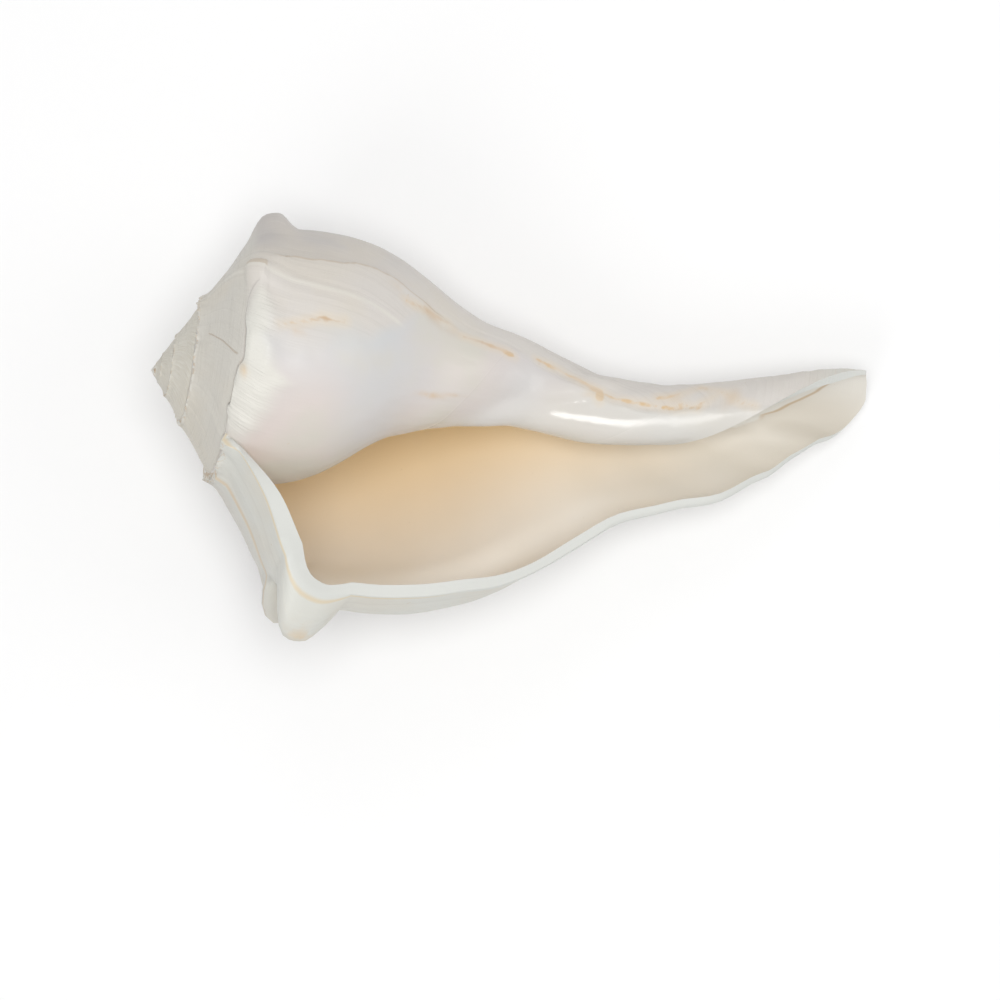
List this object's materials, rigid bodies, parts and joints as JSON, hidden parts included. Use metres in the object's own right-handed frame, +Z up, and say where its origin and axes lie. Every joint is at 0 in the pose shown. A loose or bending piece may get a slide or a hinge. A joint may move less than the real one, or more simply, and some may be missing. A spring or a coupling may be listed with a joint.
{
  "type": "conch shell",
  "caption": "Large left-coiling whelk shell of the conch kind, lying on its back with its wide mouth up: knobbed shoulder, low spire and a long open canal.",
  "frame": {"origin": "centre of the shell's footprint box, on the plane that it rests on", "axes": "+X from the spire towards the canal's tip, +Z up through the mouth, +Y completes a right-handed frame and points away from the lip"},
  "size_m": [0.186, 0.1112, 0.0857],
  "materials": {
    "shell": "off-white to grey-beige natural shell, satin outside, glossy around the mouth and tan inside"
  },
  "bodies": {
    "root": {"shell": "shell"}
  },
  "joints": []
}
